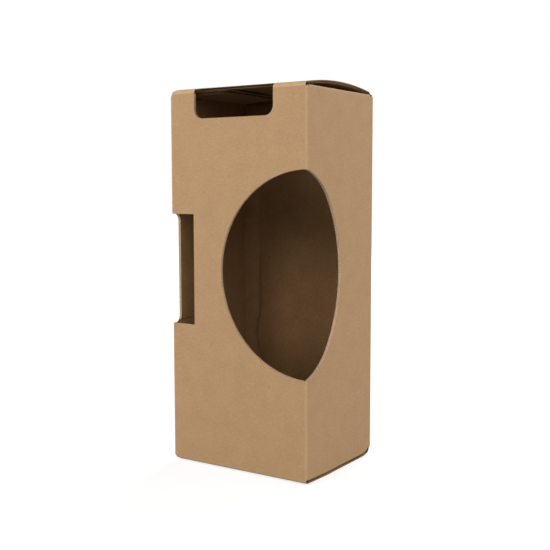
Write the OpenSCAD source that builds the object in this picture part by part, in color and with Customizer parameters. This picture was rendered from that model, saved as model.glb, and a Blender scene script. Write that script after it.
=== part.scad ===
// Straight tuck end carton for a tall insulated tumbler, folded from one sheet of fine flute board.
// Millimetres. The origin is under the middle of the box, on the surface that it stands on.
// The front panel faces -Y, the right panel faces +X, and both closures hinge on the front panel.

/* [Carton] */
// Width over the outer faces of the side panels
box_w = 94; // [80:0.5:120]
// Depth over the outer faces of the front and back panels
box_d = 76.4; // [66:0.2:100]
// Height over the outer faces of the top and bottom dust flaps
box_h = 217; // [200:0.5:260]
// Thickness of the board
board_t = 1.6; // [1.2:0.1:2]
// Inner radius of the upright folds and of the dust flap folds
crease_r = 0.2; // [0.1:0.1:1]
// Gap between the back panel's raw edge and the left panel's face
seam_inset = 0.5; // [0.2:0.1:1]
// Length of board that the glue lap holds against the back panel
lap_reach = 12.2; // [9:0.2:18]
// Distance from each end of the carton to the glue lap's root
lap_end = 17.5; // [17:0.5:30]

/* [Dust flaps] */
// Distance that a dust flap reaches in past its fold
dust_reach = 30; // [24:0.5:36]
// Distance from the front panel's face to the dust flap's front edge at its fold
dust_front = 3.4; // [3:0.1:6]
// Distance from the back panel's face to the dust flap's back edge at its fold
dust_back = 4.6; // [4.4:0.1:8]
// Amount that the front edge slants back on its way in
dust_front_cut = 14; // [8:0.5:18]
// Amount that the back edge slants forward on its way in
dust_back_cut = 7; // [2:0.5:12]
// Radius of the dust flap's free corners
dust_corner = 7; // [2:0.5:9]

/* [Lid] */
// Inner radius of the lid's two folds
lid_crease_r = 1; // [0.6:0.1:1.4]
// Radius of the arch that the lid springs into
lid_arch_r = 225; // [180:5:400]
// Air between the lid's ends and the dust flaps
lid_air = 0.2; // [0.1:0.1:0.6]

/* [Base] */
// Inner radius of the base panel's two folds
base_crease_r = 0.6; // [0.4:0.1:1]
// Length of the base panel's front ramp
base_ramp = 20; // [14:0.5:26]
// Length of the base panel's flat middle
base_flat = 30; // [20:0.5:34]
// Slope of the front ramp in degrees
base_front_slope = 2; // [1:0.1:3]
// Slope of the back ramp in degrees
base_back_slope = 2.2; // [1:0.1:3]
// Radius of the bends between the ramps and the flat middle
base_bend_r = 20; // [10:1:40]
// Air between the base panel's front end and the dust flaps
base_air = 0.1; // [0.05:0.05:0.4]

/* [Closures] */
// Distance that a closure's side edges lie in from the side panels' faces
closure_inset = 1.2; // [0.8:0.1:2]
// Gap between a tuck flap's side edges and the side panels' inner faces
tuck_side_gap = 0.6; // [0.4:0.1:1.5]
// Gap between a tuck flap's fold and the back panel's inner face
tuck_back_gap = 0.3; // [0.3:0.1:0.6]
// Distance that a tuck flap reaches past its fold
tuck_reach = 14; // [9:0.5:15]
// Angle in degrees that a tuck flap leans in from the back panel
tuck_lean = 6; // [5.5:0.5:8]
// Radius of the tuck flap's free corners
tuck_corner = 9; // [4:0.5:9]
// Length of the locking slit at each end of the tuck fold
slit_len = 9.5; // [6:0.5:14]

/* [Oval window] */
// Height of the oval window's middle
oval_z = 116.5; // [95:0.5:125]
// Radius of the half circle cut in the front panel
oval_r = 57.8; // [45:0.2:64]
// Distance that the window reaches across the right panel
oval_reach = 37.4; // [30:0.2:48]
// Half angle in degrees of the middle arc on the right panel
oval_mid_angle = 36; // [30:1:42]
// Radius of the end arcs as a share of the middle arc's radius
oval_end_share = 0.565; // [0.5:0.005:0.65]

/* [Top window] */
// Width of the top window
top_window_w = 54.4; // [40:0.2:62]
// Distance of the window's middle from the front panel's middle
top_window_x = -2; // [-6:0.5:6]
// Depth of the window below the front panel's top fold
top_window_drop = 14.7; // [10:0.1:24]
// Depth of the notch in the lid behind the front panel's face
top_window_back = 10; // [6:0.5:10]
// Corner radius of the window in the front panel
top_window_corner = 5.5; // [3:0.5:8]
// Corner radius of the notch in the lid
lid_notch_corner = 3; // [1:0.5:5]

/* [Side notch] */
// Height of the notch's middle, at the front left upright fold
notch_z = 116.4; // [90:0.5:130]
// Height of the notch
notch_h = 65.3; // [50:0.5:80]
// Distance that the notch reaches across the front panel
notch_front = 16.65; // [12:0.05:20]
// Distance that the notch reaches across the left panel
notch_side = 6.4; // [5:0.1:10]
// Corner radius of the notch on the left panel
notch_corner = 4; // [2:0.5:5]

/* [Hidden] */
$fn = 180;
// Overshoot of a cut past the face it goes through
past = 1;
// Small corner radius of the glue lap
lap_corner = 1;
// Depth that the glued lap and its fold sink into the back panel's face
seam_press = 0.1;
// Width of the locking slits
slit_w = 0.5;
// Most that a flat of a closure's bends may stand off its true curve
arc_sag = 0.004;

// Outer radius of the upright folds
fold_r = board_t + crease_r;
// Outer radius of the lid's and the base panel's folds
lid_fold_r = board_t + lid_crease_r;
base_fold_r = board_t + base_crease_r;

// The base panel's profile: how far its fold lies above its flat middle
front_rise = base_ramp * sin(base_front_slope) + base_bend_r * (1 - cos(base_front_slope));
front_bottom_z = front_rise + base_fold_r * cos(base_front_slope);

// Heights of the dust flaps' outer faces, and of the folds that carry them
dust_bottom_z = front_rise + board_t + base_air;
dust_top_z = dust_bottom_z + box_h;
side_bottom_z = dust_bottom_z + fold_r;
side_top_z = dust_top_z - fold_r;

// Height of the lid's fold on the front panel, and of the back panel's free edges
front_top_z = dust_top_z + lid_air - lid_crease_r;
back_top_z = dust_top_z + lid_air;
back_bottom_z = dust_bottom_z;

// Depth of a closure, from the front panel's face to the tuck fold
closure_d = box_d - board_t - tuck_back_gap;
closure_w = box_w - 2 * closure_inset;
tuck_w = box_w - 2 * (board_t + tuck_side_gap);

// Slope of the lid's arch at its ends
arch_slope = asin((closure_d / 2 - lid_fold_r) / (lid_arch_r - lid_fold_r));

// Length of the base panel's back ramp, from what the rest of the depth leaves
base_back_ramp = (closure_d - base_fold_r * (2 - sin(base_front_slope) - sin(base_back_slope))
    - base_ramp * cos(base_front_slope) - base_flat
    - base_bend_r * (sin(base_front_slope) + sin(base_back_slope))) / cos(base_back_slope);

// Middle arc's radius of the oval on the right panel. The end arcs are tangent to the middle arc
// and meet the half circle at the fold, which gives a quadratic in the radius.
oval_step = 1 - oval_end_share;
oval_a = 2 * oval_step * (1 - cos(oval_mid_angle));
oval_b = oval_r * oval_step * sin(oval_mid_angle) + oval_reach * (1 - oval_step * cos(oval_mid_angle));
oval_c = oval_r * oval_r + oval_reach * oval_reach;
oval_mid_r = (oval_b - sqrt(oval_b * oval_b - oval_a * oval_c)) / oval_a;
oval_end_r = oval_mid_r * oval_end_share;

// Places in a bend table row
RUN = 0;
TURN = 1;
INNER_R = 2;

// Board bent as its table says: each row is a straight run, then a turn to the left.
// The path is the outer face, along +X, and the board lies on its left. Children continue it.
module bent_board(table, width, row = 0) {
    if (row < len(table)) {
        run = table[row][RUN];
        turn = table[row][TURN];
        inner_r = table[row][INNER_R];
        if (run > 0)
            translate([0, 0, -width / 2]) cube([run, board_t, width]);
        translate([run, inner_r + board_t, 0]) {
            rotate([0, 0, -90]) rotate_extrude(angle = turn)
                translate([inner_r, -width / 2]) square([board_t, width]);
            rotate([0, 0, turn]) translate([0, -inner_r - board_t, 0])
                bent_board(table, width, row + 1) children();
        }
    } else {
        children();
    }
}

// The way to the left of a heading
function left_of(heading) = [-sin(heading), cos(heading)];

// Number of flats that keep an arc's facets within arc_sag of the true curve
function arc_flats(r, turn) = max(2, ceil(turn / (2 * acos(1 - arc_sag / r))));

// Places along the outer face of a board bent by the same kind of table, each with its heading
function stations(table, row = 0, at = [0, 0], heading = 0) =
    row == len(table) ? [] :
    let (
        outer_r = table[row][INNER_R] + board_t,
        turn = table[row][TURN],
        centre = at + table[row][RUN] * [cos(heading), sin(heading)] + outer_r * left_of(heading),
        flats = arc_flats(outer_r, turn),
        arc = [for (i = [0:flats]) let (h = heading + turn * i / flats) [centre - outer_r * left_of(h), h]],
        last = arc[flats]
    )
    concat([[at, heading]], arc, stations(table, row + 1, last[0], last[1]));

// Section of a bent board with a straight run after its last bend
module bent_section(table, last_run) {
    bends = stations(table);
    tip = bends[len(bends) - 1];
    places = concat(bends, [[tip[0] + last_run * [cos(tip[1]), sin(tip[1])], tip[1]]]);
    outer = [for (p = places) p[0]];
    inner = [for (i = [len(places) - 1:-1:0]) places[i][0] + board_t * left_of(places[i][1])];
    polygon(concat(outer, inner));
}

// Share of a flap's side that points outwards, and along it, for a side slanted by cut over reach
function side_normal(cut, reach) = [cut, reach] / norm([cut, reach]);

// Distance from a flap's sharp corner to the middle of the arc that rounds it, along the free edge
function arc_offset(cut, reach, corner) =
    corner * (1 - side_normal(cut, reach)[0]) / side_normal(cut, reach)[1];

// Outline of a flap that grows along +X from a root of the given length, with slanted sides
// and two rounded free corners
module flap_outline(root, reach, low_cut, high_cut, corner) {
    low_n = side_normal(low_cut, reach);
    high_n = side_normal(high_cut, reach);
    arc_x = reach - corner;
    low_y = low_cut + arc_offset(low_cut, reach, corner) - root / 2;
    high_y = root / 2 - high_cut - arc_offset(high_cut, reach, corner);
    polygon([
        [0, -root / 2],
        [arc_x + corner * low_n[0], low_y - corner * low_n[1]],
        [reach, low_y],
        [reach, high_y],
        [arc_x + corner * high_n[0], high_y + corner * high_n[1]],
        [0, root / 2]
    ]);
    translate([arc_x, low_y]) circle(corner);
    translate([arc_x, high_y]) circle(corner);
}

// A flat flap of board at the end of a bent board's path
module flap(root, reach, low_cut, high_cut, corner) {
    translate([0, board_t, 0]) rotate([90, 0, 0])
        linear_extrude(board_t) flap_outline(root, reach, low_cut, high_cut, corner);
}

// Outline of a notch open along its low edge, with two rounded far corners
module notch_outline(width, depth, corner) {
    translate([-width / 2, -past]) square([width, depth + past - corner]);
    translate([-width / 2 + corner, -past]) square([width - 2 * corner, depth + past]);
    for (side = [-1, 1])
        translate([side * (width / 2 - corner), depth - corner]) circle(corner);
}

// Outline of the window on the right panel, in the panel's own plane: a three-centred oval whose
// tip points along +X and whose ends lie on the fold
module oval_outline() {
    mid_x = oval_reach - oval_mid_r;
    end_x = mid_x + (oval_mid_r - oval_end_r) * cos(oval_mid_angle);
    end_y = (oval_mid_r - oval_end_r) * sin(oval_mid_angle);
    wedge = 2 * oval_mid_r;
    for (side = [-1, 1])
        translate([end_x, side * end_y]) circle(oval_end_r);
    intersection() {
        translate([mid_x, 0]) circle(oval_mid_r);
        polygon([
            [mid_x, 0],
            [mid_x + wedge * cos(oval_mid_angle), -wedge * sin(oval_mid_angle)],
            [mid_x + wedge * cos(oval_mid_angle), wedge * sin(oval_mid_angle)]
        ]);
    }
}

// The four panels and the glue lap, wrapped round from the back panel's raw edge
module wrapped_panels() {
    panel_h = back_top_z - back_bottom_z;
    lap_h = box_h - 2 * lap_end;
    side_run = box_d - 2 * fold_r;
    front_run = box_w - 2 * fold_r;
    translate([-box_w / 2 + seam_inset, box_d / 2, back_bottom_z + panel_h / 2])
        mirror([0, 1, 0])
            bent_board([
                [box_w - seam_inset - fold_r, 90, crease_r],
                [side_run, 90, crease_r],
                [front_run, 90, crease_r],
                [side_run - board_t + seam_press, 90, crease_r]
            ], panel_h)
                flap(lap_h, lap_reach, lap_reach, lap_reach, lap_corner);
}

// What the die cuts away past the panels' own ends, from the given height up
module side_ends(z) {
    for (side = [-1, 1])
        translate([side * box_w / 2 - fold_r, -box_d / 2 - past, z])
            cube([2 * fold_r, box_d + 2 * past, box_h]);
}

module front_end(z) {
    translate([-box_w / 2 + fold_r, -box_d / 2 - past, z])
        cube([box_w - 2 * fold_r, past + board_t + crease_r, box_h]);
}

// The oval window, cut through the front panel, the near fold and the right panel
module oval_window() {
    translate([box_w / 2, -box_d / 2 - past, oval_z]) rotate([-90, 0, 0])
        cylinder(h = past + fold_r, r = oval_r);
    translate([box_w / 2 - fold_r, -box_d / 2, oval_z]) rotate([90, 0, 90])
        linear_extrude(fold_r + past) oval_outline();
}

// The window at the top fold, cut through the front panel
module top_window() {
    translate([top_window_x, -box_d / 2 - past, front_top_z]) rotate([-90, 0, 0])
        linear_extrude(past + fold_r)
            notch_outline(top_window_w, top_window_drop, top_window_corner);
}

// The notch round the front left fold: square corners in front, rounded ones on the left panel
module side_notch() {
    translate([-box_w / 2 - past, -box_d / 2 - past, notch_z - notch_h / 2])
        cube([notch_front + past, past + fold_r, notch_h]);
    translate([-box_w / 2 - past, -box_d / 2, notch_z]) rotate([90, 0, 90])
        linear_extrude(past + fold_r) rotate([0, 0, -90])
            notch_outline(notch_h, notch_side, notch_corner);
}

// One dust flap with its fold, on top of the right panel
module dust_flap() {
    root = box_d - dust_front - dust_back;
    translate([box_w / 2, (dust_front - dust_back) / 2, side_top_z])
        rotate([0, -90, 0]) rotate([90, 0, 0])
            bent_board([[0, 90, crease_r]], root)
                flap(root, dust_reach, dust_back_cut, dust_front_cut, dust_corner);
}

// What the die cuts from one end of a tuck flap that hangs from root_z down to tip_z: the strip
// beside the flap with its rounded corner, and the locking slit along the fold
module tuck_side_cut(root_z, tip_z) {
    corner_x = tuck_w / 2 - tuck_corner;
    strip_h = root_z - tip_z + past;
    translate([0, closure_d + past, tip_z]) rotate([90, 0, 0]) linear_extrude(closure_d / 2)
        difference() {
            translate([corner_x, -past]) square([box_w, strip_h]);
            translate([corner_x - past, tuck_corner]) square([tuck_corner + past, strip_h]);
            translate([corner_x, tuck_corner]) circle(tuck_corner);
        }
    translate([closure_w / 2 - slit_len, closure_d / 2, root_z - slit_w])
        cube([slit_len + past, closure_d, slit_w]);
}

// A closure panel with its two folds and its tuck flap, cut from a bent board. Its front fold
// starts at the origin and goes up, and the panel lies behind it.
module closure(table) {
    bends = stations(table);
    root_z = bends[len(bends) - 1][0][0];
    difference() {
        rotate([0, -90, 0]) translate([0, 0, -closure_w / 2]) linear_extrude(closure_w)
            bent_section(table, tuck_reach);
        for (side = [0, 1])
            mirror([side, 0, 0]) tuck_side_cut(root_z, root_z - tuck_reach * cos(tuck_lean));
    }
}

module carton_body() {
    color([0.70, 0.56, 0.41]) {
        difference() {
            wrapped_panels();
            side_ends(side_top_z);
            side_ends(side_bottom_z - box_h);
            front_end(front_top_z);
            front_end(front_bottom_z - box_h);
            oval_window();
            top_window();
            side_notch();
        }
        for (side = [0, 1])
            mirror([side, 0, 0]) {
                dust_flap();
                translate([0, 0, side_bottom_z + side_top_z]) mirror([0, 0, 1]) dust_flap();
            }
    }
}

module top_lid() {
    color([0.72, 0.58, 0.43])
        translate([0, -box_d / 2, front_top_z]) difference() {
            closure([
                [0, 90 - arch_slope, lid_crease_r],
                [0, 2 * arch_slope, lid_arch_r - board_t],
                [0, 90 - arch_slope + tuck_lean, lid_crease_r]
            ]);
            translate([top_window_x, 0, -past]) linear_extrude(box_d)
                notch_outline(top_window_w, top_window_back, lid_notch_corner);
        }
}

module base_closure() {
    color([0.64, 0.51, 0.37])
        translate([0, -box_d / 2, front_bottom_z]) mirror([0, 0, 1])
            closure([
                [0, 90 - base_front_slope, base_crease_r],
                [base_ramp, base_front_slope, base_bend_r - board_t],
                [base_flat, base_back_slope, base_bend_r - board_t],
                [base_back_ramp, 90 - base_back_slope + tuck_lean, base_crease_r]
            ]);
}

carton_body();
top_lid();
base_closure();
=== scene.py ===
# %% [markdown]
# # A tall tumbler's kraft carton
# The box is folded from one die-cut sheet of fine flute board: four panels and a glue lap, a dust
# flap at each end of both side panels, and a lid and a base panel that tuck in behind. Three windows
# are cut through it. The CAD frame gives every fold its place, and this script folds the same
# sheet again with liners, flutes in its raw edges, and paper.

# %% The frame
import bpy
import numpy as np
from mathutils import Matrix, Vector
from mathutils.geometry import delaunay_2d_cdt


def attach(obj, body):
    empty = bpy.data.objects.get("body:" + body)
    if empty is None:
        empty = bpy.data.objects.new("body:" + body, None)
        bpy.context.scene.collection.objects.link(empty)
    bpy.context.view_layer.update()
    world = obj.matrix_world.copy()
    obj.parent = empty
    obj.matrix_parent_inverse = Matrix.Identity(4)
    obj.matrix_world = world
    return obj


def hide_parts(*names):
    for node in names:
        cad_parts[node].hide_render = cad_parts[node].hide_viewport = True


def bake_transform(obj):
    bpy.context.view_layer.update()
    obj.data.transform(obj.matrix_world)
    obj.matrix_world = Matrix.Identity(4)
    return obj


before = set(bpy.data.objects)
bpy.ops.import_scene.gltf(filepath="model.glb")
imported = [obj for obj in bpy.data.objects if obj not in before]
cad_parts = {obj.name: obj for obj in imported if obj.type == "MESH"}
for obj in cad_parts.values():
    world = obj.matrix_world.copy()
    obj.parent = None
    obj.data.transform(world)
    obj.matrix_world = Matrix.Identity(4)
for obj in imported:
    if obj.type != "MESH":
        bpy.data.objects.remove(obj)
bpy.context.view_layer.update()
MM = 0.001

# %% [markdown]
# ## Camera and studio
# The photograph was taken from the box's right front side, a little above its middle, on plain
# white. The camera is placed in the box's own millimetres, which were worked out from the
# corners of the box in the photograph.

# %% Camera
CAMERA_MM = (305.5, -462.6, 165.9)
AZIMUTH, LOOK_DOWN, ROLL = 33.33, 5.57, -0.09
LENS_MM = 60.4
camera = bpy.data.objects.new("camera", bpy.data.cameras.new("camera"))
camera.data.lens = LENS_MM
camera.matrix_world = (
    Matrix.Translation(Vector(CAMERA_MM) * MM)
    @ Matrix.Rotation(np.radians(AZIMUTH), 4, "Z")
    @ Matrix.Rotation(np.radians(90 - LOOK_DOWN), 4, "X")
    @ Matrix.Rotation(np.radians(ROLL), 4, "Z")
)
bpy.context.scene.collection.objects.link(camera)
bpy.context.scene.camera = camera
bpy.context.scene.view_settings.view_transform = "Standard"
print("camera at", CAMERA_MM)


# %% Two small helpers for materials
def linear(code):
    """sRGB hex to linear: c / 12.92 below 0.04045, else ((c + 0.055) / 1.055) ** 2.4."""
    c = np.array([int(code[i : i + 2], 16) for i in (1, 3, 5)]) / 255
    return (*np.where(c <= 0.04045, c / 12.92, ((c + 0.055) / 1.055) ** 2.4), 1.0)


def add(tree, kind, inputs=None, **settings):
    """Add one node, set its properties, then fill each input with a value or with another's output."""
    node = tree.nodes.new(kind)
    for name, value in settings.items():
        setattr(node, name, value)
    for name, value in (inputs or {}).items():
        if isinstance(value, bpy.types.NodeSocket):
            tree.links.new(value, node.inputs[name])
        else:
            node.inputs[name].default_value = value
    return node


# %% [markdown]
# ## White ground and soft light
# The photograph's ground is pure white. The floor is a matt white sheet, and a little light that
# only the camera sees lifts it to white, so the box still leaves its soft shadow. The world does
# the same behind it. Four large soft lamps stand round the box from its left front to its right side.
# They light the two panels in view evenly and leave the inside dark, as in the photograph. A fifth
# lights its back.

# %% Floor and world
FLOOR_SIZE = 6.0
# Light that only the camera sees on the floor: what the matt sheet lacks to full white near the box,
# and full white further off, where the lamps don't reach. Both distances are in metres
FLOOR_LIFT, FLOOR_NEAR, FLOOR_FAR = 0.70, 0.25, 1.1
WORLD_LEVEL = 0.05


def seen_rays(tree):
    """1 for rays that the camera sees directly, in a reflection or through glass, and 0 for the light
    that falls on the box."""
    rays = add(tree, "ShaderNodeLightPath")
    seen = add(tree, "ShaderNodeMath",
               {0: rays.outputs["Is Camera Ray"], 1: rays.outputs["Is Glossy Ray"]}, operation="MAXIMUM")
    seen = add(tree, "ShaderNodeMath", {0: seen.outputs[0], 1: rays.outputs["Is Transmission Ray"]},
               operation="MAXIMUM")
    return seen.outputs[0]


half = FLOOR_SIZE / 2
corners = [(-half, -half, 0), (half, -half, 0), (half, half, 0), (-half, half, 0)]
floor_mesh = bpy.data.meshes.new("floor")
floor_mesh.from_pydata(corners, [], [(0, 1, 2, 3)])
floor = bpy.data.objects.new("floor", floor_mesh)
bpy.context.scene.collection.objects.link(floor)

paper_sweep = bpy.data.materials.new("matt white paper sweep")
paper_sweep.use_nodes = True
tree = paper_sweep.node_tree
tree.nodes.clear()
place = add(tree, "ShaderNodeTexCoord").outputs["Object"]
away = add(tree, "ShaderNodeVectorMath", {0: place}, operation="LENGTH").outputs["Value"]
lift = add(tree, "ShaderNodeMapRange", {0: away, 1: FLOOR_NEAR, 2: FLOOR_FAR, 3: FLOOR_LIFT, 4: 1.0})
lift = add(tree, "ShaderNodeMath", {0: seen_rays(tree), 1: lift.outputs[0]}, operation="MULTIPLY")
sheet_white = add(tree, "ShaderNodeBsdfDiffuse", {"Color": linear("#B0B0B0")})
glow = add(tree, "ShaderNodeEmission", {"Color": (1, 1, 1, 1), "Strength": lift.outputs[0]})
both = add(tree, "ShaderNodeAddShader", {0: sheet_white.outputs[0], 1: glow.outputs[0]})
add(tree, "ShaderNodeOutputMaterial", {"Surface": both.outputs[0]})
floor_mesh.materials.append(paper_sweep)

world = bpy.data.worlds.new("white studio")
bpy.context.scene.world = world
world.use_nodes = True
tree = world.node_tree
tree.nodes.clear()
level = add(tree, "ShaderNodeMapRange", {0: seen_rays(tree), 3: WORLD_LEVEL, 4: 1.0})
sky = add(tree, "ShaderNodeBackground", {"Color": (1, 1, 1, 1), "Strength": level.outputs[0]})
add(tree, "ShaderNodeOutputWorld", {"Surface": sky.outputs[0]})
print("floor lift", FLOOR_LIFT, "and world level", WORLD_LEVEL)

# %% Soft lamps
LAMP_DISTANCE, LAMP_SIZE = 1.5, 1.0
LAMP_TARGET = Vector((0, 0, 0.12))


def soft_lamp(name, azimuth, elevation, watts):
    """A square lamp on a sphere round the box. Azimuth 0 is in front and 90 on the right. Its -Z axis
    is turned towards the box's middle."""
    a, e = np.radians(azimuth), np.radians(elevation)
    away = Vector((np.sin(a) * np.cos(e), -np.cos(a) * np.cos(e), np.sin(e))) * LAMP_DISTANCE
    lamp = bpy.data.objects.new(name, bpy.data.lights.new(name, "AREA"))
    lamp.data.size, lamp.data.energy = LAMP_SIZE, watts
    turn = away.to_track_quat("Z", "Y").to_matrix().to_4x4()
    lamp.matrix_world = Matrix.Translation(LAMP_TARGET + away) @ turn
    bpy.context.scene.collection.objects.link(lamp)
    print(f"{name}: {watts} W from azimuth {azimuth}, elevation {elevation}")


soft_lamp("left lamp", -35, 25, 15.4)
soft_lamp("front lamp", 0, 22, 4.4)
soft_lamp("right front lamp", 50, 28, 6.0)
soft_lamp("right lamp", 110, 8, 12.2)
soft_lamp("back lamp", 180, 30, 18.0)

# %% [markdown]
# ## Liners and flutes
# Kraft linerboard is unbleached paper, rolled smooth but never even: its fibres clump in clouds of a
# few millimetres, single pale fibres lie on top, and small dark specks of bark stay in it. Each
# pattern is laid out in the sheet's own millimetres with a UV map, so it runs on round the folds.

# %% Kraft paper material
CLOUD_MM, CLUMP_MM, SPECK_MM = 11.0, 1.7, 4.6
# A real fibre is hair thin. It is drawn 0.35 mm wide so that it shows at this distance
FIBRE_LONG_MM, FIBRE_WIDE_MM = 2.4, 0.35
FIBRE_TURNS = (0.35, -0.9)
# The share of clumps in the tone, and how strongly fibres, specks and the folds' marks show: wear and painted
# light
CLUMP_SHARE, FIBRE_SHOW, SPECK_SHOW, WEAR_AND_LIGHT_SHOW = 0.62, 0.30, 0.55, 0.42
GRAIN_SHOW, GRAIN_MM = 0.25, 0.05


def kraft_paper(name, dark, light, fibre, crease, speck, roughness):
    """Unbleached paper: dark to light by clouds and clumps of fibre, then fibres, specks, and fold marks of
    wear and painted light.
    """
    material = bpy.data.materials.new(name)
    material.use_nodes = True
    tree = material.node_tree
    tree.nodes.clear()
    uv = add(tree, "ShaderNodeUVMap", uv_map="sheet")
    mm = add(tree, "ShaderNodeVectorMath", {0: uv.outputs[0], "Scale": 1 / MM}, operation="SCALE").outputs[0]
    clouds = add(tree, "ShaderNodeTexNoise", {"Vector": mm, "Scale": 1 / CLOUD_MM, "Detail": 2.0})
    clumps = add(tree, "ShaderNodeTexNoise",
                 {"Vector": mm, "Scale": 1 / CLUMP_MM, "Detail": 3.0, "Roughness": 0.65})
    tone = add(tree, "ShaderNodeMix", {"Factor": CLUMP_SHARE, 2: clouds.outputs[0], 3: clumps.outputs[0]})
    tone = add(tree, "ShaderNodeMapRange", {0: tone.outputs[0], 1: 0.34, 2: 0.66})
    colour = add(tree, "ShaderNodeMix", {"Factor": tone.outputs[0], 6: linear(dark), 7: linear(light)},
                 data_type="RGBA").outputs[2]
    fibres = []
    for turn in FIBRE_TURNS:
        way = add(tree, "ShaderNodeMapping", {"Vector": mm, "Rotation": (0, 0, turn),
                                              "Scale": (1 / FIBRE_LONG_MM, 1 / FIBRE_WIDE_MM, 1)})
        thread = add(tree, "ShaderNodeTexNoise", {"Vector": way.outputs[0], "Scale": 1.0, "Detail": 1.0,
                                                 "Distortion": 0.6})
        fibres.append(add(tree, "ShaderNodeMapRange", {0: thread.outputs[0], 1: 0.60, 2: 0.72}).outputs[0])
    pale = add(tree, "ShaderNodeMath", {0: fibres[0], 1: fibres[1]}, operation="MAXIMUM")
    pale = add(tree, "ShaderNodeMath", {0: pale.outputs[0], 1: FIBRE_SHOW}, operation="MULTIPLY")
    colour = add(tree, "ShaderNodeMix", {"Factor": pale.outputs[0], 6: colour, 7: linear(fibre)},
                 data_type="RGBA").outputs[2]
    dots = add(tree, "ShaderNodeTexVoronoi", {"Vector": mm, "Scale": 1 / SPECK_MM, "Randomness": 1.0})
    size = add(tree, "ShaderNodeSeparateColor", {0: dots.outputs["Color"]})
    size = add(tree, "ShaderNodeMapRange", {0: size.outputs[0], 1: 0.55, 2: 1.0, 3: 0.0, 4: 0.085})
    spot = add(tree, "ShaderNodeMath", {0: dots.outputs["Distance"], 1: size.outputs[0]},
               operation="LESS_THAN")
    spot = add(tree, "ShaderNodeMath", {0: spot.outputs[0], 1: SPECK_SHOW}, operation="MULTIPLY")
    colour = add(tree, "ShaderNodeMix", {"Factor": spot.outputs[0], 6: colour, 7: linear(speck)},
                 data_type="RGBA").outputs[2]
    wear_and_light_mark = add(tree, "ShaderNodeAttribute", attribute_name="crease")
    wear_and_light_mark = add(tree, "ShaderNodeMath", {0: wear_and_light_mark.outputs["Fac"], 1: WEAR_AND_LIGHT_SHOW}, operation="MULTIPLY")
    colour = add(tree, "ShaderNodeMix", {"Factor": wear_and_light_mark.outputs[0], 6: colour, 7: linear(crease)},
                 data_type="RGBA").outputs[2]
    grain = add(tree, "ShaderNodeBump", {"Strength": GRAIN_SHOW, "Distance": GRAIN_MM * MM,
                                         "Height": clumps.outputs[0]})
    paper = add(tree, "ShaderNodeBsdfPrincipled", {"Base Color": colour, "Roughness": roughness,
                                                   "Specular IOR Level": 0.25, "Normal": grain.outputs[0]})
    add(tree, "ShaderNodeOutputMaterial", {"Surface": paper.outputs[0]})
    return material


# Folds are paler on the outer liner: partly wear, partly a painted highlight along their ridges. On the inner
# liner the folds, the lap's torn edge and the crack are painted very dark, as painted shade in the inside
# corners, under the lifted edge and in the groove
outer_liner = kraft_paper("unbleached kraft liner, calendered", dark="#AD8963", light="#B6936B",
                          fibre="#CDB08B", crease="#D6B68B", speck="#7A5838", roughness=0.78)
# The inner liner is the same kraft painted darker: painted shade for the dark inside of the box
inner_liner = kraft_paper("unbleached kraft liner inside, darkened with painted shade", dark="#81603C", light="#8E6C46",
                          fibre="#AA8760", crease="#3E2814", speck="#4A3119", roughness=0.88)

# %% [markdown]
# The raw edge shows the board's section: two liners with a waved medium between them. The flutes are
# real hollows in the mesh. Where the die has pressed the edge shut, as round the windows, it has also
# dragged the pale outer liner over the cut, and a point attribute says how far. That pale is partly
# painted light on edges that sit in shade, and the brown deeper in open cuts is partly the inner paper's
# tone and partly painted shade in the flutes.


# %% Raw edge material
def cut_board(name, dark, light, brown):
    """Cut paper fibre: noise of the size of torn fibre ends, dark to light where the outer liner is
    dragged over the cut, and else the brown of the medium and the inner liner. The pale is partly
    painted light on edges in shade, and the brown partly painted shade in the open flutes."""
    material = bpy.data.materials.new(name)
    material.use_nodes = True
    tree = material.node_tree
    tree.nodes.clear()
    place = add(tree, "ShaderNodeTexCoord").outputs["Object"]
    ends = add(tree, "ShaderNodeTexNoise", {"Vector": place, "Scale": 1 / (0.9 * MM), "Detail": 2.0})
    tone = add(tree, "ShaderNodeMapRange", {0: ends.outputs[0], 1: 0.35, 2: 0.65})
    colour = add(tree, "ShaderNodeMix", {"Factor": tone.outputs[0], 6: linear(dark), 7: linear(light)},
                 data_type="RGBA").outputs[2]
    drag_and_painted_light = add(tree, "ShaderNodeAttribute", attribute_name="drag_and_painted_light").outputs["Fac"]
    colour = add(tree, "ShaderNodeMix", {"Factor": drag_and_painted_light, 6: linear(brown), 7: colour},
                 data_type="RGBA").outputs[2]
    paper = add(tree, "ShaderNodeBsdfPrincipled", {"Base Color": colour, "Roughness": 0.95,
                                                   "Specular IOR Level": 0.15})
    add(tree, "ShaderNodeOutputMaterial", {"Surface": paper.outputs[0]})
    return material


raw_edge = cut_board("die-cut edge of fine flute board", dark="#A98D6F", light="#C3A98A", brown="#745739")
print("materials:", outer_liner.name, "|", inner_liner.name, "|", raw_edge.name)

# %% [markdown]
# ## Folding a sheet
# Board could be bent by a modifier, but a box needs sharp, exact folds. Here a fold is a formula: the
# sheet's outer face follows a path of straight runs and arcs, and a point of the board lies at its
# length along that path and at its depth under it. The same formula folds panels, flaps and lid.


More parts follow.
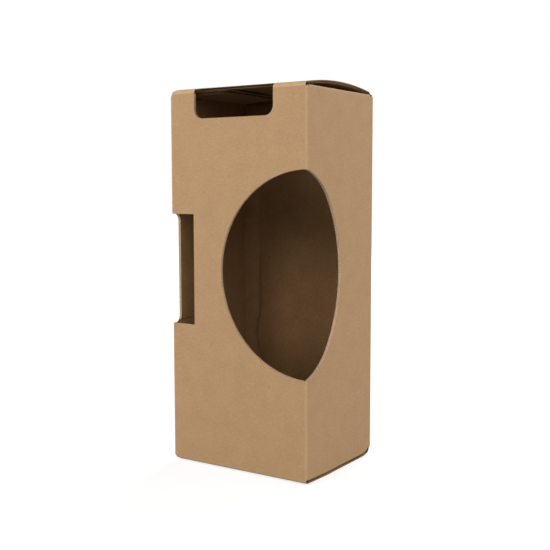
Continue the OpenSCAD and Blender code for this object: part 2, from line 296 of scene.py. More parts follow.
# %% The folding formula
def fold_along(table, start, heading, length, depth):
    """Points of a board whose outer face follows a path, at a length along it and a depth to its left.

    Each row of the table is a straight run, a turn in degrees and the turn's outer radius. Within a
    piece of curvature k, a point w further on has turned by k * w and has moved by the chord
    w * sin(k w / 2) / (k w / 2) in the direction half way through the turn. It then goes to the left
    of its heading by the depth.
    """
    begins, bends, turned, places = [0.0], [], [np.radians(heading)], [np.array(start, float)]
    for run, turn, radius in [*table, (0.0, 0.0, 1.0)]:
        for piece, bend in ((run, 0.0), (radius * np.radians(turn), 1 / radius)):
            half_turn = bend * piece / 2
            chord = piece * np.sinc(half_turn / np.pi)
            aim = turned[-1] + half_turn
            bends.append(bend)
            begins.append(begins[-1] + piece)
            places.append(places[-1] + chord * np.array([np.cos(aim), np.sin(aim)]))
            turned.append(turned[-1] + 2 * half_turn)
    bends[-1] = 0.0
    which = np.clip(np.searchsorted(begins[:-1], length, side="right") - 1, 0, len(bends) - 1)
    further = length - np.array(begins)[which]
    half_turn = np.array(bends)[which] * further / 2
    aim = np.array(turned)[which] + half_turn
    chord = further * np.sinc(half_turn / np.pi)
    place = np.array(places)[which] + chord[:, None] * np.stack([np.cos(aim), np.sin(aim)], 1)
    aim = aim + half_turn
    return place + depth[:, None] * np.stack([-np.sin(aim), np.cos(aim)], 1)


def path_length(table):
    """Length of a path: its runs, and each turn's radius times its angle."""
    return sum(run + radius * np.radians(turn) for run, turn, radius in table)


# %% [markdown]
# ## Cutting the sheet
# A die cuts the flat sheet along closed lines with straight sides and rounded corners. The flat area
# between the lines is filled with triangles, with extra rows of points where the folds will come. The
# fill is Blender's own Delaunay routine, because it keeps every point of the cut line.

# %% Cut lines
EDGE_STEP = 0.5


def arc(centre, radius, first, last):
    """Points on an arc from the first to the last angle in degrees, a step apart, without the last one."""
    count = max(3, int(np.ceil(abs(np.radians(last - first)) * radius / EDGE_STEP)))
    angles = np.radians(np.linspace(first, last, count + 1)[:-1])
    return np.array(centre) + radius * np.stack([np.cos(angles), np.sin(angles)], 1)


def straight(first, last):
    """Points on a straight line, a step apart, without the last one."""
    first, last = np.array(first, float), np.array(last, float)
    count = int(np.ceil(np.hypot(*(last - first)) / EDGE_STEP))
    return first + np.arange(count)[:, None] / max(count, 1) * (last - first)


def cut_line(corners):
    """Closed line through corners (a, b, radius). A rounded corner is the arc that touches both of its
    sides at radius * tan(turn / 2) from the corner."""
    corners = np.array(corners, float)
    points, radii = corners[:, :2], corners[:, 2]
    along = np.roll(points, -1, 0) - points
    along /= np.hypot(*along.T)[:, None]
    before = np.roll(along, 1, 0)
    turn = np.arctan2(before[:, 0] * along[:, 1] - before[:, 1] * along[:, 0], (before * along).sum(1))
    reach = (radii * np.abs(np.tan(turn / 2)))[:, None]
    enter, leave = points - before * reach, points + along * reach
    side = np.sign(turn)
    centre = enter + (radii * side)[:, None] * np.stack([-before[:, 1], before[:, 0]], 1)
    first = np.degrees(np.arctan2(*(enter - centre).T[::-1]))
    line = []
    for k in range(len(points)):
        if radii[k] > 0:
            line.append(arc(centre[k], radii[k], first[k], first[k] + np.degrees(turn[k])))
        line.append(straight(leave[k], enter[(k + 1) % len(points)]))
    return np.concatenate(line)


# %% Filling the flat sheet
# The largest table of points against line pieces that is worked on at once
PAIRS_AT_ONCE = 20_000_000
# Guide points nearer to a cut line than this share of its step are left out
CLEARANCE = 0.7


def signed_area(line):
    """Half the sum of the cross products of neighbouring points: positive for an anticlockwise line."""
    after = np.roll(line, -1, 0)
    return (line[:, 0] * after[:, 1] - line[:, 1] * after[:, 0]).sum() / 2


def inside(points, lines):
    """Even-odd rule: a point is on the board if a ray from it crosses the cut lines an odd number of times."""
    first = np.concatenate(lines)
    last = np.concatenate([np.roll(line, -1, 0) for line in lines])
    odd = np.zeros(len(points), bool)
    for part in np.array_split(np.arange(len(points)), 1 + len(points) * len(first) // PAIRS_AT_ONCE):
        x, y = points[part, 0, None], points[part, 1, None]
        spans = (first[:, 1] > y) != (last[:, 1] > y)
        rise = np.where(last[:, 1] == first[:, 1], 1, last[:, 1] - first[:, 1])
        at = first[:, 0] + (y - first[:, 1]) / rise * (last[:, 0] - first[:, 0])
        odd[part] = (spans & (at > x)).sum(1) % 2 == 1
    return odd


def lattice(columns, rows):
    """Every crossing of the given columns and rows."""
    a, b = np.meshgrid(columns, rows, indexing="ij")
    return np.stack([a.ravel(), b.ravel()], 1)


def fill_sheet(lines, guides):
    """Triangles of the flat sheet between its cut lines, with the guide points that lie on it."""
    rim = np.concatenate(lines)
    keep = inside(guides, lines)
    for part in np.array_split(np.arange(len(guides)), 1 + len(guides) * len(rim) // PAIRS_AT_ONCE):
        gap = np.hypot(guides[part, 0, None] - rim[:, 0], guides[part, 1, None] - rim[:, 1]).min(1)
        keep[part] &= gap > CLEARANCE * EDGE_STEP
    points = np.concatenate([rim, guides[keep]])
    ends = np.cumsum([0] + [len(line) for line in lines])
    ring = np.concatenate([np.stack([np.arange(i, j), np.roll(np.arange(i, j), -1)], 1)
                           for i, j in zip(ends, ends[1:])])
    found, _, faces, *_ = delaunay_2d_cdt(points.tolist(), ring.tolist(), [], 0, 1e-7)
    assert np.allclose(np.array(found), points, atol=1e-4), "the fill moved a point of the cut line"
    faces = np.array(faces)
    return points, faces[inside(points[faces].mean(1), lines)], ring


# %% [markdown]
# ## From flat sheet to board
# Each board is one closed skin. The same triangles make the outer liner at no depth and the inner
# liner at the board's thickness, and a strip along the cut line joins them. Across the strip the
# liners stay flush, and between them the surface sinks wherever the waved medium isn't.

# %% Board
BOARD = 1.6
# The waved medium, and shares of the board's thickness: a liner, half the medium, the medium's swing
FLUTE_PITCH, FLUTE_SKEW = 3.2, 0.03
LINER_SHARE, MEDIUM_SHARE, MEDIUM_SWING = 0.15, 0.05, 0.28
# How deep the medium's own edge lies, how deep an open flute's end is, and up to which depth an edge
# counts as pressed shut
MEDIUM_DEPTH, OPEN_HOLLOW, PRESSED_SHUT = 0.1, 2.0, 0.5
# The share of its thickness that a scored fold loses, and the angle from which an edge is drawn sharp
FOLD_PRESS, SHARP_ANGLE = 0.4, 38
# The inside liner is another stretch of paper: its part of the map is moved aside, in metres
MAP_ASIDE = (0.5, 0.3)
# Depths of the strip's rows as shares of the board: flush liners, then the rows between them
EDGE_ROWS = np.concatenate([[0, LINER_SHARE], np.linspace(LINER_SHARE + 0.02, 0.98 - LINER_SHARE, 12),
                            [1 - LINER_SHARE, 1]])


def hollow(share, a, b, inward, along):
    """How far the raw edge sinks: nothing at the liners, a little at the medium, whose middle swings as
    0.5 + 0.28 sin(2 pi * a / pitch), and elsewhere as deep as the cut is open.

    The flutes run up the panels. A cut along them (inward along a) is open to the given depth. A cut
    across them (inward along b) leaves their ends wide open, unless the die has pressed it shut too.
    """
    medium = 0.5 + MEDIUM_SWING * np.sin(2 * np.pi * (a + FLUTE_SKEW * b) / FLUTE_PITCH)
    air = np.clip((np.abs(share - medium) - MEDIUM_SHARE) / MEDIUM_SHARE, 0, 1)
    between = (share > LINER_SHARE + 0.01) & (share < 0.99 - LINER_SHARE)
    deepest = along + (along > PRESSED_SHUT) * (OPEN_HOLLOW - along) * inward[:, 1] ** 2
    return between * (MEDIUM_DEPTH + (deepest - MEDIUM_DEPTH) * air)


def make_board(name, node, lines, guides, place, crease, cut_depth, pressed=None):
    """A folded board: place(a, b, depth) gives the points in millimetres, crease(a, b) the mark of
    folds, which thins them and shows as wear and painted light, cut_depth(a, b) how deep raw edges along
    the flutes sink, and pressed(a, b) what is left of the thickness where the board is glued down, and
    how far it stands off."""
    lines = [line if (signed_area(line) > 0) == (k == 0) else line[::-1] for k, line in enumerate(lines)]
    flat, skin, ring = fill_sheet(lines, guides)
    count, rim = len(flat), len(ring)
    inward = np.concatenate([np.roll(line, -1, 0) - np.roll(line, 1, 0) for line in lines])
    inward = np.stack([-inward[:, 1], inward[:, 0]], 1) / np.hypot(*inward.T)[:, None]
    rows = len(EDGE_ROWS) - 2
    share = np.repeat(EDGE_ROWS[1:-1], rim)
    strip, inward = np.tile(flat[:rim], (rows, 1)), np.tile(inward, (rows, 1))
    along = cut_depth(*strip.T)
    # Pale fibre is dragged half way over an open cut, and right over a pressed one to its inner rim. The pale
    # is partly painted light, and the brown left deeper in open cuts is partly painted shade
    pale = np.clip((0.5 - share) / (0.5 - LINER_SHARE), 0, 1)
    drag_and_painted_light = np.concatenate([np.ones(2 * count), np.maximum(pale, along < PRESSED_SHUT)])
    drag_and_painted_light[count : count + rim] = along[:rim] < PRESSED_SHUT
    strip = strip + hollow(share, *strip.T, inward, along)[:, None] * inward
    sheet = np.concatenate([flat, flat, strip])
    wear_and_painted_light = crease(sheet[:, 0], sheet[:, 1])
    # The scored fold is pressed thinner than the board around it
    depth = np.concatenate([np.zeros(count), np.ones(count), share]) * BOARD * (1 - FOLD_PRESS * wear_and_painted_light)
    thinned = np.ones(len(sheet))
    if pressed:
        thinned, lift = pressed(sheet[:, 0], sheet[:, 1])
        depth = lift + depth * thinned
    points = place(sheet[:, 0], sheet[:, 1], depth)

    row_start = np.concatenate([[0], 2 * count + rim * np.arange(rows), [count]])
    here, after = row_start[:-1, None, None] + ring, row_start[1:, None, None] + ring
    quads = np.stack([here[..., 0], after[..., 0], after[..., 1], here[..., 1]], -1).reshape(-1, 4)
    walls = np.concatenate([quads[:, [0, 1, 2]], quads[:, [0, 2, 3]]])
    faces = np.concatenate([skin, skin[:, ::-1] + count, walls])

    mesh = bpy.data.meshes.new(name)
    mesh.from_pydata((points * MM).tolist(), [], faces.tolist())
    mesh.materials.append(outer_liner)
    mesh.materials.append(inner_liner)
    mesh.materials.append(raw_edge)
    # Where the edge is pressed thin, the inner liner covers it
    kinds = np.concatenate([np.zeros(len(skin)), np.ones(len(skin)), 2 - (thinned[walls].mean(1) < 0.5)])
    mesh.polygons.foreach_set("material_index", kinds.astype(np.int32))
    aside = np.repeat(kinds, 3)[:, None] * np.array([MAP_ASIDE])
    layer = mesh.uv_layers.new(name="sheet")
    layer.uv.foreach_set("vector", (sheet[faces.ravel()] * MM + aside).astype(np.float32).ravel())
    # The fold marks go to the paper too: a painted highlight on outer folds, painted shade on the inner liner
    wear_and_light_mark = mesh.attributes.new("crease", "FLOAT", "POINT")
    wear_and_light_mark.data.foreach_set("value", wear_and_painted_light.astype(np.float32))
    mesh.attributes.new("drag_and_painted_light", "FLOAT", "POINT").data.foreach_set("value", drag_and_painted_light.astype(np.float32))
    mesh.shade_smooth()
    mesh.set_sharp_from_angle(angle=np.radians(SHARP_ANGLE))
    mesh.update()
    board = bpy.data.objects.new(name, mesh)
    bpy.context.scene.collection.objects.link(board)
    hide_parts(node)
    edge = np.hypot(*(np.roll(lines[0], -1, 0) - lines[0]).T).sum()
    print(f"{name}: {len(faces)} triangles, cut line {edge:.0f} mm")
    return board


# %% [markdown]
# ## The carton
# The wrap starts at the glue lap's free edge, goes round the left, front and right panels, and ends at
# the back panel's raw edge. On the side panels the dust flaps go on past the end folds.

# %% Carton values, in millimetres
BOX_W, BOX_D, BOX_MIDDLE = 94.0, 76.4, 112.0
FOLD_R = 1.1
LAP, SEAM_AIR, SEAM_INSET = 12.2, 0.02, 0.5
BACK_BOTTOM, BACK_TOP = 2.41017, 219.61017
SIDE_BOTTOM, SIDE_TOP = BACK_BOTTOM + FOLD_R, 219.41017 - FOLD_R
FRONT_BOTTOM, FRONT_TOP = 2.90883, 218.61017
FOLD_LENGTH = FOLD_R * np.pi / 2
SIDE_RUN, FRONT_RUN = BOX_D - 2 * FOLD_R, BOX_W - 2 * FOLD_R
LEFT_RUN = SIDE_RUN - BOARD - SEAM_AIR
WRAP = [(LAP, 90, FOLD_R), (LEFT_RUN, 90, FOLD_R), (FRONT_RUN, 90, FOLD_R), (SIDE_RUN, 90, FOLD_R),
        (BOX_W - FOLD_R - SEAM_INSET, 0, 1)]
WRAP_START = (-BOX_W / 2 + FOLD_R + LAP, BOX_D / 2 - BOARD - SEAM_AIR)
# The left top dust flap springs up towards the lid: its slope at its back and front edge
SPRUNG_BACK, SPRUNG_FRONT = 0.036, 0.063
# The right panel's bottom fold sags: shares of the panel's depth from its front, the sag there, and
# the height over which it fades
SAG_SHARES, SAG_DROPS, SAG_HEIGHT = [0, 0.1, 0.3, 0.9, 1], [0, 0.3, 0.75, 0.75, 0], 15.0
# Lengths along the wrap at which each panel starts and ends
left_0 = LAP + FOLD_LENGTH
left_1 = left_0 + LEFT_RUN
front_0 = left_1 + FOLD_LENGTH
front_1 = front_0 + FRONT_RUN
right_0 = front_1 + FOLD_LENGTH
right_1 = right_0 + SIDE_RUN
back_0 = right_1 + FOLD_LENGTH
back_1 = back_0 + BOX_W - FOLD_R - SEAM_INSET
# The dust flaps: their panel's start and end, up or down, their fold's height, and 1 if it is sprung
DUST_FLAPS = [(left_0, left_1, 1, SIDE_TOP, 1), (left_0, left_1, -1, SIDE_BOTTOM, 0),
              (right_0, right_1, 1, SIDE_TOP, 0), (right_0, right_1, -1, SIDE_BOTTOM, 0)]
# Crushed corners of the box: x, y and z of the corner, and how wide and how high it is crushed. The
# push is full to 4 mm away in depth and gone at 8 mm, and it fades over 6 mm of height
CRUSHED = [(-47.0, -38.2, 218.9, 2.6, 1.3), (-47.0, -38.2, 2.6, 1.7, 1.9), (47.0, 38.2, 2.3, 1.4, 1.1)]
CRUSH_DEPTH, CRUSH_HEIGHT = 4.0, 6.0
print("panels start along the wrap at", np.round([left_0, front_0, right_0, back_0, back_1], 2))


# %% Folding the carton
def place_carton(a, b, depth):
    """Height past a side panel's end turns round the flap fold into reach, and a sprung flap also rises
    in proportion to its reach. The right panel's foot sags. Then the wrap goes round."""
    height, deep = b.copy(), depth.copy()
    for first, last, way, end, sprung in DUST_FLAPS:
        # Up to a millimetre before the fold the formula leaves points where they are
        flap = (a > first) & (a < last) & (way * (b - end) > -1)
        rise, reach = fold_along([(0, 90, FOLD_R)], (0, 0), 0, way * (b - end)[flap], depth[flap]).T
        frontness = (a[flap] - first) / (last - first)
        slope = sprung * (SPRUNG_BACK + (SPRUNG_FRONT - SPRUNG_BACK) * frontness)
        height[flap] = end + way * rise + slope * np.maximum(reach - FOLD_R, 0)
        deep[flap] = reach
    sag = np.interp((a - right_0) / SIDE_RUN, SAG_SHARES, SAG_DROPS)
    height -= sag * np.clip(1 - (b - SIDE_BOTTOM) / SAG_HEIGHT, 0, 1)
    x, y = fold_along(WRAP, WRAP_START, 180, a, deep).T
    return crush(np.stack([x, y, height], 1))


def crush(points):
    """Each corner is pushed in by high * (1 - u / wide) times its fades in depth and height, with u and
    v the distances from it across and up."""
    points = points.copy()
    for x, y, z, wide, high in CRUSHED:
        u, inwards = np.abs(points[:, 0] - x), np.sign(BOX_MIDDLE - z)
        v = (points[:, 2] - z) * inwards
        fade = np.clip(2 - np.abs(points[:, 1] - y) / CRUSH_DEPTH, 0, 1) * np.clip(1 - v / CRUSH_HEIGHT, 0, 1)
        points[:, 2] += inwards * high * np.maximum(1 - u / wide, 0) * fade
    return points


# %% Carton cut lines
DUST_REACH, DUST_FRONT, DUST_BACK = 30.0, 2.6, 4.6
DUST_FRONT_CUT, DUST_BACK_CUT, DUST_CORNER = 14.0, 7.0, 7.0
LAP_END, LAP_CORNER = 17.6, 1.0
# How far the side panels' ends run on past the end folds, between the front folds and the flaps
HEEL = 0.5
# The lap's free edge is torn low down: lengths past it along the wrap, and their heights
TORN_EDGE = [(0.0, 80.0), (2.1, 77.6), (1.7, 75.0), (2.5, 72.4), (2.9, 69.8), (2.3, 67.6), (2.5, 64.8),
             (1.6, 62.6), (1.2, 60.2), (0.2, 58.4), (-0.3, 55.6), (-1.8, 53.4), (-2.2, 51.6), (-1.1, 49.0),
             (0.0, 46.4)]
WINDOW_X, WINDOW_W, WINDOW_DROP, WINDOW_CORNER = -2.0, 54.4, 14.7, 5.5


def dust_flap(back, front, up):
    """Corners of one dust flap, from its back end to its front end along the wrap, either way round."""
    way = 1 if front > back else -1
    root, fold = SIDE_TOP, SIDE_TOP + FOLD_LENGTH
    tip = fold + DUST_REACH
    corners = np.array([(back, root, 0), (back, fold, 0), (back + way * DUST_BACK_CUT, tip, DUST_CORNER),
                        (front - way * DUST_FRONT_CUT, tip, DUST_CORNER), (front, fold, 0), (front, root, 0)])
    if not up:
        corners[:, 1] = SIDE_TOP + SIDE_BOTTOM - corners[:, 1]
    return corners


left_back = left_0 + (BOX_D / 2 - BOARD - SEAM_AIR - FOLD_R) - (BOX_D / 2 - DUST_BACK)
left_front = left_1 + FOLD_R - DUST_FRONT
right_front = right_0 - FOLD_R + DUST_FRONT
right_back = right_1 + FOLD_R - DUST_BACK
window_0 = front_0 + BOX_W / 2 - FOLD_R + WINDOW_X - WINDOW_W / 2
window_1 = window_0 + WINDOW_W
raw = back_1 - FOLD_R + SEAM_INSET
outer_cut = cut_line(np.concatenate([
    [(0, BACK_BOTTOM + LAP_END + LAP, LAP_CORNER), (LAP, BACK_BOTTOM + LAP_END, 0), (LAP, SIDE_BOTTOM, 0)],
    dust_flap(left_back, left_front, False),
    [(left_1, SIDE_BOTTOM - HEEL, 0), (front_0, FRONT_BOTTOM, 0), (front_1, FRONT_BOTTOM, 0),
     (right_0, SIDE_BOTTOM - HEEL, 0)],
    dust_flap(right_back, right_front, False)[::-1],
    [(back_0, SIDE_BOTTOM, 0), (back_0, BACK_BOTTOM, 0), (raw, BACK_BOTTOM, 0), (raw, SIDE_BOTTOM, 0),
     (back_1, SIDE_BOTTOM, 0), (back_1, SIDE_TOP, 0), (raw, SIDE_TOP, 0), (raw, BACK_TOP, 0),
     (back_0, BACK_TOP, 0), (back_0, SIDE_TOP, 0)],
    dust_flap(right_back, right_front, True),
    [(right_0, SIDE_TOP + HEEL, 0), (front_1, FRONT_TOP, 0), (window_1, FRONT_TOP, 0),
     (window_1, FRONT_TOP - WINDOW_DROP, WINDOW_CORNER), (window_0, FRONT_TOP - WINDOW_DROP, WINDOW_CORNER),
     (window_0, FRONT_TOP, 0), (front_0, FRONT_TOP, 0), (left_1, SIDE_TOP + HEEL, 0)],
    dust_flap(left_back, left_front, True)[::-1],
    [(LAP, SIDE_TOP, 0), (LAP, BACK_TOP - LAP_END, 0), (0, BACK_TOP - LAP_END - LAP, LAP_CORNER)],
    [(a, b, 0) for a, b in TORN_EDGE],
]))
print("outer cut line:", len(outer_cut), "points")

# %% [markdown]
# The side notch goes round the front left fold, square in front and round at the side. The oval window
# is half a circle on the front panel. On the right panel it is a three-centred oval: two tighter arcs
# at the fold that run smoothly into a flatter one.

# %% Window lines
NOTCH_Z, NOTCH_H, NOTCH_FRONT, NOTCH_SIDE, NOTCH_CORNER = 116.4, 65.3, 16.65, 6.4, 4.0
notch_0 = left_1 + FOLD_R - NOTCH_SIDE
notch_1 = front_0 - FOLD_R + NOTCH_FRONT
notch_cut = cut_line([(notch_0, NOTCH_Z - NOTCH_H / 2, NOTCH_CORNER), (notch_1, NOTCH_Z - NOTCH_H / 2, 0),
                      (notch_1, NOTCH_Z + NOTCH_H / 2, 0), (notch_0, NOTCH_Z + NOTCH_H / 2, NOTCH_CORNER)])

OVAL_Z, OVAL_R, OVAL_REACH, OVAL_HALF_ANGLE = 116.5, 57.8, 37.4, 36.0
OVAL_MID_R, OVAL_END_R = 71.68, 40.50
mid_u = OVAL_REACH - OVAL_MID_R
end_u = mid_u + (OVAL_MID_R - OVAL_END_R) * np.cos(np.radians(OVAL_HALF_ANGLE))
end_z = (OVAL_MID_R - OVAL_END_R) * np.sin(np.radians(OVAL_HALF_ANGLE))
corner_u = right_0 - FOLD_R
fold_angle = np.degrees(np.arccos((FOLD_R - end_u) / OVAL_END_R))
half_circle_edge = np.degrees(np.arccos(FOLD_R / OVAL_R))
front_centre = front_1 + FOLD_R
oval_cut = np.concatenate([
    arc((front_centre, OVAL_Z), OVAL_R, 180 - half_circle_edge, 180 + half_circle_edge),
    straight((front_1, OVAL_Z - OVAL_R * np.sin(np.radians(half_circle_edge))),
             (right_0, OVAL_Z - end_z - OVAL_END_R * np.sin(np.radians(fold_angle)))),
    arc((corner_u + end_u, OVAL_Z - end_z), OVAL_END_R, -fold_angle, -OVAL_HALF_ANGLE),
    arc((corner_u + mid_u, OVAL_Z), OVAL_MID_R, -OVAL_HALF_ANGLE, OVAL_HALF_ANGLE),
    arc((corner_u + end_u, OVAL_Z + end_z), OVAL_END_R, OVAL_HALF_ANGLE, fold_angle),
    straight((right_0, OVAL_Z + end_z + OVAL_END_R * np.sin(np.radians(fold_angle))),
             (front_1, OVAL_Z + OVAL_R * np.sin(np.radians(half_circle_edge)))),
])
print("notch", len(notch_cut), "points, oval", len(oval_cut), "points")

# %% [markdown]
# Wear and raw edges are laid out on the flat sheet as well. The uprights are rubbed along their folds,
# the lap is pressed thin where it is glued and torn low down, and a crack starts at the notch. These
# marks are partly wear and partly painted light: a painted highlight on the outer folds, and painted
# shade on the inner liner along the folds, under the torn edge and in the crack.

# %% Wear, lap and raw edges
# The lap's taper and what is left of its thickness, then its lift, the lift's top and how it fades
LAP_TAPER, LAP_EDGE_SHARE, LAP_LIFT, LIFT_TOP, LIFT_FADE = 7.0, 0.12, 1.2, 124.0, 40.0
# A crack in the left panel's board starts at the notch's lower corner and runs level towards the back.
# It is a shallow groove, and its dark line on the inner liner is painted shade
CRACK_Z, CRACK_LENGTH = 85.2, 9.5
# Widths over which marks fade: folds, the crack's sides and ends, and the torn edge's mark upwards
FOLD_FADE, CRACK_FADE, CRACK_END_FADE, TORN_FADE = 0.5, 0.35, 0.8, 8.0
# How strongly flap folds are marked, as wear and as painted light
FLAP_WEAR_AND_LIGHT = 0.3
# How deep raw edges along the flutes sink: windows, the notch's cracked corner, dust flaps
WINDOW_CUT, CORNER_CUT, FLAP_CUT = 0.15, 0.8, 1.6


def near(value, first, last, fade):
    """1 between first and last, falling to 0 over the fade on both sides as a bell."""
    off = np.maximum(np.maximum(first - value, value - last), 0)
    return np.exp(-((off / fade) ** 2))


def lap_edge(b):
    """Length along the wrap at which the lap's torn edge lies, read off between its corners."""
    torn = np.array(TORN_EDGE[::-1])
    return np.interp(b, torn[:, 1], torn[:, 0])


def carton_crease(a, b):
    """The mark is full on an upright fold's arc and fades within half a millimetre of it. Flap folds are
    marked less. The lap's torn edge and the crack are marked in the same way. The mark is partly wear and
    partly painted light: a painted highlight on outer folds, painted shade on the inner liner."""
    marks = [near(a, end + FOLD_FADE, end + FOLD_LENGTH - FOLD_FADE, FOLD_FADE)
             for end in (LAP, left_1, front_1, right_1)]
    on_side_panel = ((a < left_1) | (a > right_0)) * (a < right_1)
    past_fold = np.maximum(b - SIDE_TOP, SIDE_BOTTOM - b)
    marks.append(FLAP_WEAR_AND_LIGHT * near(past_fold, 0, FOLD_LENGTH, FOLD_FADE) * on_side_panel)
    edge = lap_edge(b)
    marks.append(near(a, edge, edge, FOLD_FADE) * np.clip((LIFT_TOP - b) / TORN_FADE, 0, 1))
    marks.append(near(b, CRACK_Z, CRACK_Z, CRACK_FADE)
                 * near(a, notch_0 - CRACK_LENGTH, notch_0, CRACK_END_FADE))
    return np.maximum.reduce(marks)


def lap_press(a, b):
    """The glued lap thins towards its free edge: share + (1 - share) * t * t * (3 - 2 t). Low down, where
    it is torn, the edge stands off the back panel a little."""
    t = np.clip((a - lap_edge(b)) / LAP_TAPER, 0, 1)
    t = t * t * (3 - 2 * t)
    low = np.clip((LIFT_TOP - b) / LIFT_FADE, 0, 1)
    return LAP_EDGE_SHARE + (1 - LAP_EDGE_SHARE) * t, LAP_LIFT * low * (1 - t)


def carton_cut(a, b):
    """The windows' edges are pressed shut, but for the notch's cracked lower corner, and those of the
    dust flaps stay open."""
    corner = (np.abs(a - notch_0) < NOTCH_CORNER) & (b < CRACK_Z) & (b > NOTCH_Z - NOTCH_H / 2 - 1)
    flap = (b > SIDE_TOP) | (b < SIDE_BOTTOM)
    return np.where(flap, FLAP_CUT, np.where(corner, CORNER_CUT, WINDOW_CUT))


# %% Carton board
GUIDE_STEP = 2.6
FOLD_COLUMNS = np.concatenate([[-2.4, -1.2, -0.6], np.linspace(0, FOLD_LENGTH, 8),
                               FOLD_LENGTH + np.array([0.6, 1.2, 2.4])])
heights = np.arange(BACK_BOTTOM + 1, BACK_TOP, GUIDE_STEP)
guides = [lattice(end + FOLD_COLUMNS, heights) for end in (LAP, left_1, front_1, right_1)]
# Points lie closer together at the lap's free edge and along the crack
guides.append(lattice(np.linspace(-1.5, 6, 11), heights))
guides.append(lattice(notch_0 - np.arange(0.6, CRACK_LENGTH + 2, 0.8),
                      CRACK_Z + np.array([-1.0, -0.5, -0.25, 0, 0.25, 0.5, 1.0])))
for first, last in ((left_back, left_front), (right_front, right_back)):
    across = np.arange(first + 0.8, last, GUIDE_STEP)
    guides += [lattice(across, SIDE_TOP + FOLD_COLUMNS), lattice(across, SIDE_BOTTOM - FOLD_COLUMNS)]
for first, last in ((left_0, left_1), (front_0, front_1), (right_0, right_1), (back_0, back_1)):
    guides.append(lattice(np.arange(first + 5, last - 4, 2 * GUIDE_STEP),
                          np.arange(SIDE_BOTTOM + 5, SIDE_TOP - 4, 2 * GUIDE_STEP)))
carton = make_board("carton_board", "carton_body", [outer_cut, notch_cut, oval_cut],
                    np.concatenate(guides), place_carton, carton_crease, carton_cut, lap_press)
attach(carton, "carton")

# %% [markdown]
# ## Lid and base panel
# Both closures hinge on the front panel, cross the box and tuck down behind the back panel, where a
# slit at each end of the tuck fold catches a dust flap. The lid springs up into a shallow arch. The
# base panel has bent into a ramp, a flat that the box stands on, and a second ramp. Each is one board.

# %% Closure values
LID_W, BASE_W, TUCK_W, TUCK_REACH, TUCK_CORNER = 91.6, 93.2, 89.6, 14.0, 9.0
SLIT_LENGTH, SLIT_W = 9.5, 0.5
ARCH_R, ARCH_SLOPE, TUCK_LEAN = 225.0, 8.96322, 6.0
LID_FOLD_R, BASE_FOLD_R, BASE_BEND_R = 2.6, 2.2, 20.0
BASE_RAMP, BASE_FLAT, BASE_BACK_RAMP, FRONT_SLOPE, BACK_SLOPE = 20.0, 42.0, 6.8215, 2.0, 2.2
# The side edges run along one flute, which is open to these depths. Folds fade over CLOSURE_FADE
LID_CUT, BASE_CUT, CLOSURE_FADE, ARCH_STEP = 1.0, 0.8, 0.7, 3.0
LID_PATH = [(0, 90 - ARCH_SLOPE, LID_FOLD_R), (0, 2 * ARCH_SLOPE, ARCH_R),
            (0, 90 - ARCH_SLOPE + TUCK_LEAN, LID_FOLD_R)]
BASE_PATH = [(0, 90 - FRONT_SLOPE, BASE_FOLD_R), (BASE_RAMP, FRONT_SLOPE, BASE_BEND_R),
             (BASE_FLAT, BACK_SLOPE, BASE_BEND_R), (BASE_BACK_RAMP, 90 - BACK_SLOPE + TUCK_LEAN, BASE_FOLD_R)]


def place_lid(a, b, depth):
    """The lid's path rises from the front panel's top and turns back over the box."""
    rise, back = fold_along(LID_PATH, (0, 0), 0, b, depth).T
    return crush(np.stack([a, back - BOX_D / 2, FRONT_TOP + rise], 1))


def place_base(a, b, depth):
    """The base panel's path drops from the front panel's bottom and turns back under the box."""
    drop, back = fold_along(BASE_PATH, (0, 0), 0, b, depth).T
    return crush(np.stack([-a, back - BOX_D / 2, FRONT_BOTTOM - drop], 1))


def tuck_corners(side, root):
    """Corners of a closure's far end: the side edges, both slits at the tuck fold, and the tuck's tip."""
    tuck, tip = TUCK_W / 2, root + TUCK_REACH
    right = [(side, root, 0), (side - SLIT_LENGTH, root, 0), (side - SLIT_LENGTH, root + SLIT_W, 0),
             (tuck, root + SLIT_W, 0), (tuck, tip, TUCK_CORNER)]
    return right + [(-a, b, radius) for a, b, radius in right[::-1]]


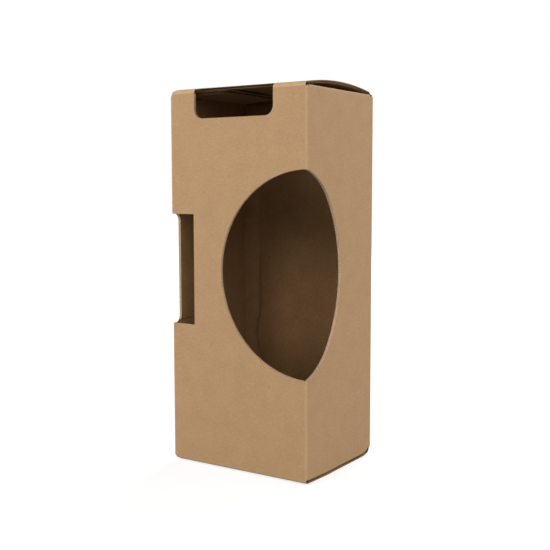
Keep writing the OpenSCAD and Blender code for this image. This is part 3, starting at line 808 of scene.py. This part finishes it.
def closure_crease(path):
    """Wear and painted light of a closure: full on its first and last fold, and fading within a millimetre of
    them.
    """
    first, last = path[0][1:], path[-1][1:]
    end = path_length(path)
    start = end - last[1] * np.radians(last[0])
    return lambda a, b: np.maximum(near(b, -1, first[1] * np.radians(first[0]), CLOSURE_FADE),
                                   near(b, start, end, CLOSURE_FADE))


def closure_cut(deep):
    """The same depth of cut all round a closure."""
    return lambda a, b: np.full(len(a), deep)


def closure_guides(path):
    """Rows close together on both end folds, and wider apart between them and on the tuck flap."""
    first, last = path[0][2] * np.radians(path[0][1]), path_length(path)
    fold = path[-1][2] * np.radians(path[-1][1])
    rows = np.concatenate([np.linspace(0, first, 9), first + np.array([0.6, 1.4]),
                           np.arange(first + 3.5, last - fold - 3, ARCH_STEP),
                           last - fold - np.array([1.4, 0.6]), np.linspace(last - fold, last, 9),
                           last + np.array([0.8, 2.0, 4.5, 8.0, 11.5])])
    return lattice(np.arange((GUIDE_STEP - BASE_W) / 2, BASE_W / 2, GUIDE_STEP), rows)


# %% Lid board
LID_NOTCH_BACK, LID_NOTCH_CORNER = 10.0, 3.0
walk = np.linspace(0, 20, 400)
notch_b = np.interp(LID_NOTCH_BACK - BOX_D / 2, place_lid(0 * walk, walk, 0 * walk)[:, 1], walk)
window = (WINDOW_X - WINDOW_W / 2, WINDOW_X + WINDOW_W / 2)
lid_cut = cut_line([(-LID_W / 2, 0, 0), (window[0], 0, 0), (window[0], notch_b, LID_NOTCH_CORNER),
                    (window[1], notch_b, LID_NOTCH_CORNER), (window[1], 0, 0), (LID_W / 2, 0, 0)]
                   + tuck_corners(LID_W / 2, path_length(LID_PATH)))
lid = make_board("lid_board", "top_lid", [lid_cut], closure_guides(LID_PATH), place_lid,
                 closure_crease(LID_PATH), closure_cut(LID_CUT))
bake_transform(lid)

# %% Base board
base_cut = cut_line([(-BASE_W / 2, 0, 0), (BASE_W / 2, 0, 0)]
                    + tuck_corners(BASE_W / 2, path_length(BASE_PATH)))
base = make_board("base_board", "base_closure", [base_cut], closure_guides(BASE_PATH), place_base,
                  closure_crease(BASE_PATH), closure_cut(BASE_CUT))
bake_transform(base)
